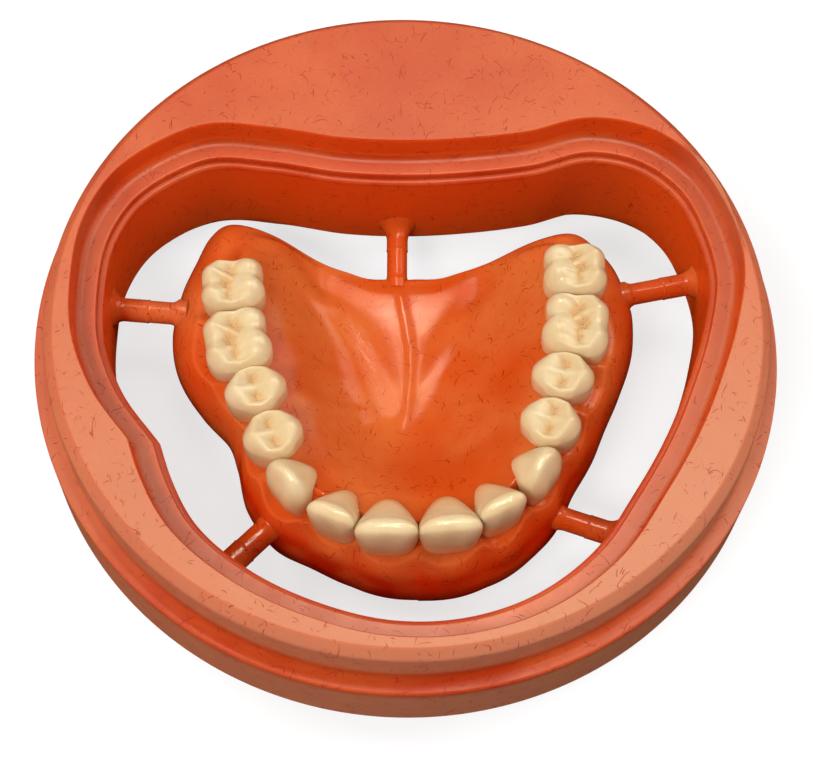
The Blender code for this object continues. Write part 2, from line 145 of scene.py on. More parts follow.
# The teeth's line is shifted to the right by this much at the front, fading with the distance.
MIDLINE_SHIFT = 0.28
MIDLINE_REACH = 14.0
RAPHE = ((-0.5, 11.0), (0.5, 0.0), (-0.2, -6.0), (-1.0, -10.5))
RAPHE_HEIGHT = 0.14
RAPHE_WIDTH = 0.75
BOWL_RISE = 0.8
BOWL_REACH = 17.0
PALATE_BLUR = 7.0
# Share of the way down the flange, of the way out, of the height left.
FLANGE_CURVE = (
    (0.0, 0.0, 1.0), (0.1, 0.26, 0.965), (0.2, 0.47, 0.88), (0.32, 0.68, 0.75),
    (0.45, 0.86, 0.60), (0.58, 0.97, 0.45), (0.70, 1.0, 0.31), (0.80, 0.98, 0.18),
    (0.90, 0.86, 0.06), (1.0, 0.66, 0.0),
)
FLANGE_RINGS = 64

# Teeth: name, shape, place, facing in degrees, width, depth (a share in front teeth), lift.
TEETH = (
    ("central_incisor", "incisor", (4.0, -30.2), 3, 8.05, 1.0, 0.5),
    ("lateral_incisor", "incisor", (10.9, -27.6), 25, 6.5, 0.92, 0.2),
    ("canine", "canine", (16.85, -22.35), 54, 6.9, 0.9, 0.3),
    ("first_premolar", "premolar", (17.8, -15.1), 72, 7.1, 7.8, -0.3),
    ("second_premolar", "premolar", (19.95, -8.5), 76, 7.0, 8.1, -0.5),
    ("first_molar", "molar", (22.3, -1.0), 82, 9.4, 8.7, -0.6),
    ("second_molar", "molar", (22.85, 7.35), 88, 7.7, 8.4, -0.6),
)
TOOTH_SIDES = 96
ROOT_DEPTH = 9.6
CROWN_BLEND = (-7.5, -0.5)
# Front tooth sections: height, width share, outer face, inner face.
FRONT_SECTIONS = {
    "incisor": (
        (-11.6, 0.55, -1.2, -4.2), (-9.4, 0.80, -0.2, -5.7), (-7.6, 0.92, 0.35, -6.5),
        (-5.8, 0.97, 0.62, -6.6), (-4.2, 1.0, 0.74, -5.6), (-3.0, 1.005, 0.76, -4.45),
        (-2.0, 1.0, 0.72, -3.45), (-1.2, 0.99, 0.62, -2.7), (-0.65, 0.975, 0.48, -2.2),
        (-0.3, 0.955, 0.32, -1.9), (-0.08, 0.92, 0.12, -1.66), (0.06, 0.86, -0.12, -1.42),
        (0.14, 0.80, -0.36, -1.18), (0.18, 0.74, -0.58, -0.95),
    ),
    "canine": (
        (-11.6, 0.55, -1.1, -4.2), (-9.2, 0.80, 0.1, -5.6), (-7.2, 0.93, 0.70, -6.0),
        (-5.4, 0.99, 0.95, -5.9), (-3.9, 1.0, 0.90, -5.2), (-2.7, 0.96, 0.66, -4.4),
        (-1.8, 0.88, 0.34, -3.6), (-1.05, 0.75, 0.02, -2.9), (-0.5, 0.58, -0.28, -2.35),
        (-0.12, 0.38, -0.60, -1.85), (0.0, 0.20, -0.90, -1.5),
    ),
}
# Relief of a front tooth's inner face: its depth, height, spread up and down, spread across as
# a share of the width, and the level of its flanks; then the drop of the edge's corners.
FRONT_RELIEF = {
    "incisor": (0.12, -3.2, 1.4, 0.16, 0.45, 0.8),
    "canine": (0.30, -2.6, 1.8, 0.13, 0.4, 0.0),
}
FRONT_SPLIT = 0.36
FRONT_RINGS = 60
FRONT_REACH = 0.5
FRONT_TAPER = 0.24
FURROW_DEPTH = 0.08
TONGUE_SQUARENESS = 2.2
FACE_SQUARENESS = 3.0
# Crests of a back tooth: (along, across, height) points, with along and across as shares of the
# half sizes, then steepness and roundness.
CRESTS = {
    "premolar": (
        (((-0.72, 0.40, -0.75), (0.0, 0.62, 0.0), (0.72, 0.40, -0.8)), 0.95, 0.40),
        (((-0.72, 0.40, -0.75), (-0.82, -0.05, -0.95), (-0.62, -0.50, -0.8)), 1.15, 0.28),
        (((0.72, 0.40, -0.8), (0.82, -0.05, -1.0), (0.60, -0.50, -0.85)), 1.15, 0.28),
        (((0.0, 0.62, 0.0), (0.0, 0.02, -1.25)), 0.95, 0.5),
        (((-0.62, -0.50, -0.8), (-0.05, -0.56, -0.3), (0.60, -0.50, -0.85)), 0.85, 0.8),
        (((-0.05, -0.56, -0.3), (0.0, -0.02, -1.3)), 0.95, 0.6),
    ),
    "molar": (
        (((-0.80, 0.45, -0.75), (-0.45, 0.66, 0.0), (-0.02, 0.64, -0.8)), 0.95, 0.35),
        (((-0.02, 0.64, -0.8), (0.40, 0.64, -0.1), (0.80, 0.42, -0.8)), 0.95, 0.35),
        (((-0.80, 0.45, -0.75), (-0.87, 0.0, -0.95), (-0.74, -0.48, -0.7)), 1.15, 0.28),
        (((0.80, 0.42, -0.8), (0.88, -0.02, -1.15), (0.82, -0.45, -0.95)), 1.15, 0.28),
        (((-0.45, 0.66, 0.0), (-0.28, 0.14, -1.6)), 0.95, 0.5),
        (((0.40, 0.64, -0.1), (0.20, 0.10, -1.45), (-0.16, -0.34, -0.9)), 1.05, 0.42),
        (((-0.58, -0.48, -0.5), (-0.28, -0.54, -0.05), (-0.16, -0.52, -0.2)), 0.85, 1.0),
        (((0.54, -0.55, -0.4),), 0.9, 0.9),
    ),
}
# Lobes of the outline: along, across as shares of the half sizes, radius as a share.
LOBES = {
    "premolar": ((0.0, 0.36, 0.66), (0.0, -0.40, 0.62), (0.22, 0.0, 0.76), (-0.22, 0.0, 0.76)),
    "molar": (
        (-0.44, 0.44, 0.57), (0.42, 0.42, 0.56), (-0.36, -0.40, 0.62), (0.52, -0.48, 0.48),
        (-0.38, 0.05, 0.62), (0.34, 0.0, 0.59), (0.0, 0.36, 0.62),
    ),
}
LOBE_POWER = 14
LEAST_REACH = 0.05
# Rings of a back tooth over its top and down its wall, then the wall's size on the way down.
BITE_RINGS = 45
WALL_RINGS = 29
BACK_SIZES = ((0.0, 1.0), (0.12, 1.015), (0.3, 1.01), (0.5, 0.96), (0.7, 0.87), (1.0, 0.6))
BITE_ROUND = 0.95
CREST_BLEND = 0.10
FISSURE_WIDTH = 0.12
FISSURE_DEPTH = 0.18
# A premolar's fissure takes its painted shade and stain specks only round its two pits, as shares
# of the half width.
PIT_PLACE = 0.38
PIT_SPREAD = 0.26

# Connector bars: name, ring end, denture end, share of the length that is the thick collar,
# radius, flare at the ring and its length, flare at the denture.
CONNECTORS = (
    ("connector_rear", (-2.1, 22.1, 9.2), (-1.8, 13.9, 8.4), 0.46, 1.42, 1.1, 2.6, 0.15),
    ("connector_left", (-40.4, 5.0, 12.0), (-32.6, 4.7, 12.0), 0.55, 1.53, 1.2, 1.7, 0.5),
    ("connector_right", (39.6, 13.3, 12.0), (30.2, 10.8, 12.0), 0.48, 1.50, 0.9, 1.7, 0.45),
    ("connector_front_left", (-22.4, -31.5, 10.0), (-17.2, -25.7, 10.0), 0.5, 1.7, 0.7, 1.4, 0.2),
    ("connector_front_right", (28.6, -24.2, 10.0), (21.9, -22.2, 10.0), 0.5, 1.52, 0.9, 1.8, 0.2),
)
COLLAR_EXTRA = 0.07
COLLAR_STEP = 0.16
SEAM_RIDGE = 0.07
SEAM_WIDTH = 0.11
SEAM_ZONE = 0.36
FLARE_POWER = 2.4
FOOT_LENGTH = 1.1
# Length of a bar's ends inside the ring and the denture.
BURIED = 1.4
# The denture's face is looked for this far below a bar's axis.
PROBE_DROP = 0.6
BAR_SIDES = 48

# Heights and radii of the disc over which its frost, painted sheen and painted wall shade change
TOP_BAND = (25.2, 25.38)
OUTSIDE_BAND = (44.4, 46.2)
WINDOW_BAND = (43.5, 45.0)
LEDGE_BAND = (19.2, 19.8)
TERRACE_BAND = (21.1, 21.6)

# Fibres in the acrylic: size of a cell, half length, half width, greatest depth.
FIBRES = (
    (2.1, 1.05, 0.05, 0.5),
    (1.5, 0.55, 0.05, 0.4),
    (3.0, 2.2, 0.05, 0.6),
    (1.2, 0.35, 0.055, 0.3),
)
FIBRE_CURL = 1.1

# Studio. The floor lies just under the disc, and glows only as the camera sees it.
FLOOR_DROP = 0.05
FLOOR_REACH = 3000.0
FLOOR_DARK = (0.29, 0.29, 0.29, 1.0)
FLOOR_LIGHT = (0.31, 0.31, 0.31, 1.0)
FLOOR_GLOW = 0.71
WORLD_STRENGTH = 0.24
LAMP_AIM = (0.0, 0.0, 10.0)
SHEEN_TINT = (1.0, 0.86, 0.68)
SPARK_TINT = (1.0, 0.78, 0.48)
# Lamps: name, place, size, power, and a tint for those that show only in reflections.
LAMPS = (
    ("left", (-420, 120, 460), (300, 300), 1.88),
    ("right", (430, 100, 440), (300, 300), 2.02),
    ("front", (-200, -330, 480), (260, 160), 2.4),
    ("overhead", (40, 100, 600), (240, 120), 0.36),
    ("window", (40, 100, 600), (220, 120), 1.0, SHEEN_TINT),
    ("strip", (40, 100, 610), (260, 22), 2.2, SHEEN_TINT),
    ("sheen_wide", (450, 240, 350), (660, 580), 2.0, SHEEN_TINT),
    ("sheen_middle", (440, 235, 342), (480, 420), 0.9, SHEEN_TINT),
    ("sheen_narrow", (430, 230, 334), (300, 260), 0.35, SHEEN_TINT),
    ("spark_low", (-70, 215, 560), (46, 44), 0.38, SPARK_TINT),
    ("spark_right", (22, 317, 560), (36, 10), 0.2, SPARK_TINT),
    ("spark_left", (-33, 310, 560), (10, 16), 0.1, SPARK_TINT),
)

# Camera
CAMERA_PLACE = (0.19, -112.2, 229.6)
CAMERA_ELEVATION = math.radians(63.48)
CAMERA_ROLL = math.radians(2.62)
CAMERA_LENS = 79.78


def smoothstep(value):
    value = np.clip(value, 0.0, 1.0)
    return value * value * (3.0 - 2.0 * value)


def between(value, start, end):
    """0 at start and 1 at end, smooth from one to the other and level beyond them."""
    return smoothstep((value - start) / (end - start))


def bell(value):
    return np.exp(-(value**2))


def curve_through(knots, values, at):
    """Cubic curve through values at rising knots, read at the places in at."""
    knots = np.asarray(knots, float)
    values = np.asarray(values, float)
    slopes = np.gradient(values, knots, axis=0)
    at = np.asarray(at, float)
    shape = at.shape
    at = np.clip(at.ravel(), knots[0], knots[-1])
    index = np.clip(np.searchsorted(knots, at) - 1, 0, len(knots) - 2)
    step = knots[index + 1] - knots[index]
    t = (at - knots[index]) / step
    if values.ndim > 1:
        step, t = step[:, None], t[:, None]
        shape = shape + values.shape[1:]
    start = (1 + 2 * t) * (1 - t) ** 2 * values[index] + t * (1 - t) ** 2 * step * slopes[index]
    end = t * t * (3 - 2 * t) * values[index + 1] + t * t * (t - 1) * step * slopes[index + 1]
    return (start + end).reshape(shape)


def line_through(points, spacing):
    points = np.asarray(points, float)
    chords = np.linalg.norm(np.diff(points, axis=0), axis=1)
    knots = np.concatenate([[0.0], np.cumsum(chords)])
    count = int(math.ceil(knots[-1] / spacing)) + 1
    return curve_through(knots, points, np.linspace(0.0, knots[-1], count))


def table_at(table, at):
    """The columns of a table after its first, each read smoothly at the places in at."""
    table = np.asarray(table, float)
    return np.moveaxis(curve_through(table[:, 0], table[:, 1:], at), -1, 0)


# Meshes


def grid_mesh(name, grid, tips=()):
    """A closed mesh from grid[row, side, xyz] in millimetres, with sides running all the way round.

    Each end closes on its tip point. Without tips the last row meets the first.
    """
    rows, sides, _ = grid.shape
    points = np.vstack([grid.reshape(-1, 3), *tips])
    side = np.arange(sides)
    beside = np.roll(side, -1)
    here = np.arange(rows - 1 if len(tips) else rows)[:, None] * sides
    after = (here + sides) % (rows * sides)
    quads = np.stack([here + side, here + beside, after + beside, after + side], axis=-1)
    quads = quads.reshape(-1, 4)
    faces = quads.tolist()
    if len(tips):
        first, last = rows * sides, (rows - 1) * sides
        faces += np.stack([beside, side, np.full(sides, first)], axis=-1).tolist()
        faces += np.stack([last + side, last + beside, np.full(sides, first + 1)], axis=-1).tolist()
    mesh = bpy.data.meshes.new(name)
    mesh.from_pydata((points * MM).tolist(), [], faces)
    corners = (points - points.mean(axis=0))[quads]
    if np.linalg.det(corners[:, :3]).sum() + np.linalg.det(corners[:, [0, 2, 3]]).sum() < 0:
        mesh.flip_normals()
    mesh.shade_smooth()
    return mesh


def new_object(name, data):
    item = bpy.data.objects.new(name, data)
    bpy.context.scene.collection.objects.link(item)
    return item


def add_piece(mesh, material, node):
    item = new_object(mesh.name, mesh)
    mesh.materials.append(material)
    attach(item, "root")
    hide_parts(node)


def add_values(mesh, name, values):
    """A value for each vertex, which the material reads by name."""
    attribute = mesh.attributes.new(name, "FLOAT", "POINT")
    padded = np.zeros(len(mesh.vertices), np.float32)
    padded[: len(values)] = values
    attribute.data.foreach_set("value", padded)


def rounded(corners):
    """A line of (a, b) points through corners (a, b, round), each rounded by its own radius."""
    points = []
    for i, (a, b, size) in enumerate(corners):
        here = np.array([a, b])
        if i in (0, len(corners) - 1) or size == 0.0:
            points.append(here)
            continue
        before = np.array(corners[i - 1][:2]) - here
        after = np.array(corners[i + 1][:2]) - here
        before /= np.linalg.norm(before)
        after /= np.linalg.norm(after)
        start, end = here + before * size, here + after * size
        points.append(start + before * ROUND_HOLD)
        for t in np.linspace(0.0, 1.0, ROUND_STEPS + 1):
            points.append((1 - t) ** 2 * start + 2 * t * (1 - t) * here + t * t * end)
        points.append(end + after * ROUND_HOLD)
    return np.array(points)


# Disc ring


def outer_profile():
    """Radius and height of the disc's outside, from the top face down to the underside."""
    top = DISC_HEIGHT / 2
    rim = BODY_RADIUS - BODY_BEVEL
    upper = (
        (rim - OUTER_LEAD, top, 0.0),
        (rim, top, EDGE_ROUND),
        (BODY_RADIUS, top - BODY_BEVEL, EDGE_ROUND),
        (BODY_RADIUS, FLANGE_HALF, GROOVE_RADIUS),
        (FLANGE_RADIUS, FLANGE_HALF, EDGE_ROUND),
    )
    lower = tuple((radius, -height, size) for radius, height, size in reversed(upper))
    return rounded(upper + lower)[1:-1]


def inner_profile():
    """Distance outwards from the window's wall and height, from the underside to the top face."""
    top = DISC_HEIGHT / 2
    corners = (
        (TERRACE_WIDTH + INNER_LEAD, -top, 0.0),
        (TERRACE_WIDTH, -top, EDGE_ROUND),
        (TERRACE_WIDTH, -LOW_TERRACE_HEIGHT, COVE_RADIUS),
        (LEDGE_WIDTH, -LOW_TERRACE_HEIGHT, FINE_ROUND),
        (LEDGE_WIDTH, -LOW_LEDGE_HEIGHT, FINE_ROUND),
        (0.0, -LOW_LEDGE_HEIGHT, FINE_ROUND),
        (0.0, 0.0, WALL_WAIST),
        (0.0, LEDGE_HEIGHT, WALL_ROUND),
        (LEDGE_WIDTH, LEDGE_HEIGHT, FINE_ROUND),
        (LEDGE_WIDTH, TERRACE_HEIGHT, STEP_ROUND),
        (TERRACE_WIDTH, TERRACE_HEIGHT, COVE_RADIUS),
        (TERRACE_WIDTH, top, EDGE_ROUND),
        (TERRACE_WIDTH + INNER_LEAD, top, 0.0),
    )
    return rounded(corners)[1:-1]


def ring_angles():
    corner = math.atan2(WINDOW_CORNER[1], WINDOW_CORNER[0])
    return corner + np.linspace(0.0, 2 * math.pi, RING_DIRECTIONS, endpoint=False)


def wall_radii(wall, angles):
    """Distance from the disc's axis to the wall in each direction."""
    wall_angles = np.unwrap(np.arctan2(wall[:, 1], wall[:, 0]))
    turned = (angles - wall_angles[0]) % (2 * math.pi) + wall_angles[0]
    return np.interp(turned, wall_angles, np.hypot(wall[:, 0], wall[:, 1]))


def offset_radii(wall, angles, offset):
    """Distance from the disc's axis to the line that runs at this offset outside the wall."""
    outward = np.stack([np.cos(angles), np.sin(angles)], axis=1)
    along = outward @ wall.T
    across = outward @ np.stack([-wall[:, 1], wall[:, 0]])
    reach = np.where(
        (np.abs(across) < offset) & (along > 0),
        along + np.sqrt(np.maximum(offset**2 - across**2, 0.0)),
        0.0,
    )
    return reach.max(axis=1)


def ring_grid():
    wall, angles = line_through(WINDOW_WALL, WALL_SPACING), ring_angles()
    outlines = [wall_radii(wall, angles)]
    outlines += [offset_radii(wall, angles, offset) for offset in WALL_OFFSETS[1:]]
    outlines = np.array(outlines)
    unit = np.stack([np.cos(angles), np.sin(angles)], axis=1)

    def level(radius, height):
        plan = unit * np.reshape(radius, (-1, 1))
        return np.column_stack([plan, np.full(len(plan), DISC_MIDDLE + height)])

    def window_radius(offset):
        return np.array([np.interp(offset, WALL_OFFSETS, radii) for radii in outlines.T])

    outer = [level(np.full(len(angles), radius), height) for radius, height in outer_profile()]
    inner = [level(window_radius(offset), height) for offset, height in inner_profile()]
    shares = np.linspace(0.0, 1.0, FACE_RINGS + 2)[1:-1]
    under = [outer[-1] + (inner[0] - outer[-1]) * share for share in shares]
    over = [inner[-1] + (outer[0] - inner[-1]) * share for share in shares]
    return np.array(outer + under + inner + over)


# Denture base


def nest_points(points):
    """Points of the denture's own frame, moved to where it stands in the disc."""
    turn = Matrix.Rotation(NEST_TURN, 3, "Z") @ Matrix.Rotation(NEST_TILT, 3, "Y")
    return np.asarray(points, float) @ np.array(turn).T + np.array(NEST_PLACE)


def two_sided(table, directions):
    left, right = table_at(table, np.abs(np.degrees(directions)))
    return np.where(directions < 0, left, right)


def tooth_frame(tooth, side):
    """Middle of a tooth, and its directions along the arch and outwards, in the denture's frame."""
    turn = math.radians(tooth[3])
    shift = MIDLINE_SHIFT * bell(tooth[2][0] / MIDLINE_REACH)
    middle = np.array([side * tooth[2][0] + shift, tooth[2][1]])
    along = np.array([side * math.cos(turn), math.sin(turn)])
    out = np.array([side * math.sin(turn), -math.cos(turn)])
    return middle, along, out


def tooth_directions():
    """Direction of each tooth's outer face from the base's centre, and half its spread."""
    found = []
    for tooth in TEETH:
        middle, along, out = tooth_frame(tooth, 1)
        reach = tooth[5] / 2 if tooth[1] in CRESTS else FRONT_REACH
        edges = []
        for part in (-0.5, 0.0, 0.5):
            place = middle + out * reach + along * tooth[4] * part - np.array(BASE_CENTRE)
            edges.append(math.atan2(place[0], -place[1]))
        found.append((edges[1], (edges[2] - edges[0]) / 2))
    return found


def tooth_wave(directions):
    """1 at the middle of each tooth, falling to 0 between two teeth and behind the last."""
    wave = np.zeros_like(directions)
    for middle, half in tooth_directions():
        away = (np.abs(directions) - middle) / half
        wave = np.maximum(wave, np.cos(np.clip(away, -1, 1) * math.pi / 2) ** WAVE_POWER)
    return wave


def soft_floor(value, width):
    """0 well below zero and value well above it, with the corner rounded over width."""
    t = np.clip(0.5 * (value / width + 1.0), 0.0, 1.0)
    return np.where(value > width, value, 2 * width * (t**3 - 0.5 * t**4))


def raphe_rise(x, y):
    line = line_through(RAPHE, 0.25)
    away = np.min(np.hypot(x[..., None] - line[:, 0], y[..., None] - line[:, 1]), axis=-1)
    ends = between(y, 12.5, 9.5) * between(y, -12.5, -8.5)
    return RAPHE_HEIGHT * bell(away / RAPHE_WIDTH) * ends


def top_height(radius, directions):
    """Height of the polished surface inside the shoulder, for arrays of the same shape."""
    degrees = np.abs(np.degrees(directions))
    floor_radius, margin_radius, margin = table_at(PALATE, degrees)
    share = (radius - floor_radius) / (margin_radius - floor_radius)
    crease = 0.5 + 0.3 * between(degrees, 60.0, 30.0) + 0.25 * between(directions, 0.0, 0.5)
    crease = np.minimum(crease, MOST_CREASE)
    rise = 1.0 - soft_floor(1.0 - soft_floor(share, crease), SLOPE_LIP)
    slope = rise * (1.32 - 0.32 * rise)
    height = FLOOR_HEIGHT + (margin - FLOOR_HEIGHT) * slope
    height = height + BOWL_RISE * between(radius, 0.0, BOWL_REACH) * (1 - rise)
    height = height + PALATAL_SLOPE * soft_floor(radius - margin_radius, 1.8)
    peak = PALATAL_PEAK - SIDE_PEAK_DROP * between(degrees, 45.0, 60.0)
    peak = peak + (margin + 0.6 - peak) * between(degrees, 118.0, 140.0)
    height = height - soft_floor(height - peak, 1.2)
    edge = FLOOR_HEIGHT + BACK_EDGE_RISE * between(radius, 9.0, 18.0)
    behind = between(degrees, 148.0, 162.0)
    return height * (1 - behind) + edge * behind


def blurred(heights, degrees):
    """Rows of heights round the middle, each smoothed over an angle."""
    waves = np.fft.rfft(heights, axis=1)
    orders = np.arange(waves.shape[1])
    waves = waves * np.exp(-0.5 * (orders * math.radians(degrees)) ** 2)
    return np.fft.irfft(waves, heights.shape[1], axis=1)


def toothed_part(degrees):
    """1 along the row of teeth and 0 behind the last of them."""
    return between(degrees, 124.0, 116.0)


class BaseForm:
    """The denture base as rows of (radius, height), each with a value for every direction."""

    def __init__(self):
        self.directions = np.linspace(-math.pi, math.pi, BASE_DIRECTIONS, endpoint=False)
        self.degrees = np.abs(np.degrees(self.directions))
        self.outline = two_sided(OUTLINE, self.directions)
        self.inset, self.rise, self.border = table_at(SHOULDER, self.degrees)
        (self.margin,) = table_at(OUTER_MARGIN, self.degrees)
        _, self.margin_radius, _ = table_at(PALATE, self.degrees)
        self.wave = tooth_wave(self.directions)
        self.toothed = toothed_part(self.degrees)
        self.shoulder = self.outline - self.inset - SCALLOP * (1 - self.wave) * self.toothed
        self.crest = self.margin + PAPILLA_RISE * (1 - self.wave) ** 1.5 * self.toothed
        self.lowest = self.margin - self.rise + BORDER_LIFT

    def plan(self, radius):
        x = BASE_CENTRE[0] + radius * np.sin(self.directions)
        y = BASE_CENTRE[1] - radius * np.cos(self.directions)
        return x, y

    def top_rows(self):
        """The polished surface, from its middle out to the shoulder."""
        shares = np.linspace(0.0, 1.0, TOP_RINGS + 1)[1:, None]
        scallop = SCALLOP * (1 - self.wave) * self.toothed * shares**6
        radii = (self.outline - self.inset) * shares - scallop
        heights = top_height(radii, self.directions)
        outer = between(shares, 0.5, 0.75)
        heights = heights * outer + blurred(heights, PALATE_BLUR) * (1 - outer)
        heights = heights + raphe_rise(*self.plan(radii))
        reach = np.maximum(0.5 * (self.shoulder - self.margin_radius), 2.5)
        over = smoothstep((radii - self.shoulder + reach) / reach)
        return list(zip(radii, heights * (1 - over) + self.crest * over))

    def flange_rows(self):
        """The outer face, from the shoulder down to the border."""
        parts = np.linspace(0.0, 1.0, FLANGE_RINGS + 1)[1:]
        front = between(self.degrees, 75.0, 55.0)
        gap = 1 - self.wave
        swell = self.toothed * (NECK_SWELL * self.wave - NECK_DIP * gap) * (0.5 + 0.5 * front)
        rows = []
        for part, across, up in zip(parts, *table_at(FLANGE_CURVE, parts)):
            radius = self.shoulder + (self.outline - self.shoulder) * across
            radius = radius + bell((part - 0.26) / 0.16) * swell
            radius = radius - RECESS * bell((part - 0.5) / 0.13) * front * (0.4 + 0.6 * gap)
            radius = radius + RIM_RIDGE * bell((part - 0.12) / 0.03) * self.toothed
            rows.append((radius, self.lowest + (self.crest - self.lowest) * up))
        return rows

    def under_rows(self, last):
        """The hollow side, from the border up and in under the palate."""
        inner = self.outline - self.border
        crest_radius = np.minimum(self.margin_radius + 5.0, self.shoulder - 1.5)
        crest_height = top_height(crest_radius, self.directions)
        trough = np.minimum(crest_height - 5.0, self.margin - 2.2)
        trough = np.where(self.degrees > 140, crest_height - PALATE_THICKNESS, trough)
        trough = np.maximum(trough, self.lowest + 0.3 * self.rise)
        stations = (
            last,
            (self.outline - 0.55 * self.border, self.lowest),
            (self.outline - 0.8 * self.border, self.lowest + 0.08 * self.rise),
            (inner, self.lowest + 0.35 * self.rise),
            (0.6 * inner + 0.4 * crest_radius, self.lowest + 0.72 * self.rise),
            (0.15 * inner + 0.85 * crest_radius, trough),
        )
        rows = []
        for low, high in zip(stations, stations[1:]):
            for part in (0.34, 0.67, 1.0):
                rows.append(tuple(a * (1 - part) + b * part for a, b in zip(low, high)))
        start_radius, start_height = rows[-1]
        for share in np.linspace(0.0, 1.0, UNDER_RINGS + 1)[1:-1]:
            radius = start_radius * (1 - share)
            top = top_height(radius, self.directions)
            join = between(share, 0.0, 0.25)
            height = start_height * (1 - join) + (top - PALATE_THICKNESS) * join
            rows.append((radius, np.minimum(height, top - LEAST_THICKNESS)))
        return rows

    def grid(self):
        """All the rows as points, and the two points that close them."""
        rows = self.top_rows() + self.flange_rows()
        rows += self.under_rows(rows[-1])
        grid = np.array([np.column_stack([*self.plan(radius), height]) for radius, height in rows])
        middle = rows[0][1].mean()
        tips = [np.array([*BASE_CENTRE, middle - drop]) for drop in (0.0, PALATE_THICKNESS)]
        return grid, tips


def base_mesh():
    grid, tips = BaseForm().grid()
    placed = nest_points(grid.reshape(-1, 3)).reshape(grid.shape)
    mesh = grid_mesh("denture_base_fine", placed, tips=[nest_points(tip) for tip in tips])
    ring = np.arange(len(grid)) - TOP_RINGS
    degrees = np.abs(np.linspace(-180.0, 180.0, BASE_DIRECTIONS, endpoint=False))
    # Painted shade: the outer flange darkens to a deep red down from the shoulder, most at the
    # front where it lies in shade.
    front_shade = 0.25 + 0.75 * between(degrees, 85.0, 50.0)
    add_values(mesh, "flange", np.outer(between(ring, 2.0, 34.0), front_shade).ravel())
    # Painted highlight: a paler line along the small ridge just below the teeth.
    rim = bell((ring - 7.0) / 1.8)
    add_values(mesh, "rim", np.outer(rim, toothed_part(degrees)).ravel())
    return mesh


# Teeth


def power_circle(squareness):
    angle = np.linspace(0.0, 2 * math.pi, TOOTH_SIDES, endpoint=False)
    cos, sin = np.cos(angle), np.sin(angle)
    along = np.sign(cos) * np.abs(cos) ** (2 / squareness)
    across = np.sign(sin) * np.abs(sin) ** (2 / squareness)
    return along, across


def front_tooth(tooth):
    """Rings of a front tooth as (along, across, height), and its closing points."""
    _, shape, _, _, width, scale, _ = tooth
    depth, level, spread, share_across, flank, corner_drop = FRONT_RELIEF[shape]
    sections = np.asarray(FRONT_SECTIONS[shape])
    parts = np.linspace(0.0, 1.0, FRONT_RINGS) ** 0.8
    knots = np.linspace(0.0, 1.0, len(sections))
    heights, shares, outers, inners = np.moveaxis(curve_through(knots, sections, parts), -1, 0)
    tongue_cos, tongue_sin = power_circle(TONGUE_SQUARENESS)
    face_cos, face_sin = power_circle(FACE_SQUARENESS)
    labial = tongue_sin > 0
    cos, sin = np.where(labial, face_cos, tongue_cos), np.where(labial, face_sin, tongue_sin)
    tongue_side, face_side = np.maximum(0.0, -sin), np.maximum(0.0, sin)
    rows = []
    for height, share, outer, inner in zip(heights, shares, outers, inners * scale):
        split = outer - FRONT_SPLIT * (outer - inner)
        taper = FRONT_TAPER * between(height, -1.5, -5.0) + 0.04
        u = cos * (width / 2 * share) * (1 - taper * tongue_side)
        v = split + np.where(labial, sin * (outer - split), sin * (split - inner))
        relief = bell((height - level) / spread) * (bell(u / (share_across * width)) - flank)
        v = v - depth * tongue_side * relief
        furrows = np.cos(u / width * 4 * math.pi) * bell((height + 2.5) / 3.0)
        v = v - FURROW_DEPTH * face_side * furrows
        bite = between(height, -2.2, 0.0)
        z = height - corner_drop * bite * np.abs(2 * u / width) ** 5
        rows.append(np.column_stack([u, v, z]))
    root = np.array([0.0, (outers[0] + inners[0]) / 2, heights[0] - 0.3])
    edge = np.array([0.0, (outers[-1] + inners[-1] * scale) / 2, heights[-1] + 0.01])
    return np.array(rows), (root, edge)


def lobed_outline(shape, half, side):
    """The widest outline of a back tooth, as a smooth line round its lobes."""
    angle = np.linspace(0.0, 2 * math.pi, TOOTH_SIDES, endpoint=False)
    cos, sin = np.cos(angle), np.sin(angle)
    total = np.zeros(TOOTH_SIDES)
    for along, across, size in LOBES[shape]:
        a, b = along * half, across * side
        radius = size * (half + side) / 2
        near = a * cos + b * sin
        off = -a * sin + b * cos
        reach = near + np.sqrt(np.maximum(radius**2 - off**2, 0.0))
        reach = np.where(np.abs(off) < radius, reach, near)
        total += np.maximum(reach, LEAST_REACH) ** LOBE_POWER
    radius = total ** (1 / LOBE_POWER)
    u, v = radius * cos, radius * sin
    u = u / np.abs(u).max() * half
    v = np.where(v > 0, v / v.max(), v / -v.min()) * side
    return u, v


def soft_max(fields, width):
    """The greatest of the fields, with the creases between them rounded over width."""
    fields = np.array(fields)
    top = fields.max(axis=0)
    return top + width * np.log(np.exp((fields - top) / width).sum(axis=0))


def crest_field(points, steepness, roundness, half, side, u, v):
    """Height of a crest that runs through the points, falling away on both sides of it."""
    points = np.array(points) * (half, side, 1.0)
    if len(points) == 1:
        points = np.vstack([points, points])
    best = np.full(np.shape(u), -np.inf)
    for start, end in zip(points, points[1:]):
        run = end[:2] - start[:2]
        length = max(float(run @ run), 1e-9)
        t = np.clip(((u - start[0]) * run[0] + (v - start[1]) * run[1]) / length, 0.0, 1.0)
        away = np.hypot(u - start[0] - t * run[0], v - start[1] - t * run[1])
        fall = np.sqrt((steepness * away) ** 2 + roundness**2) - roundness
        best = np.maximum(best, start[2] + (end[2] - start[2]) * t - fall)
    return best


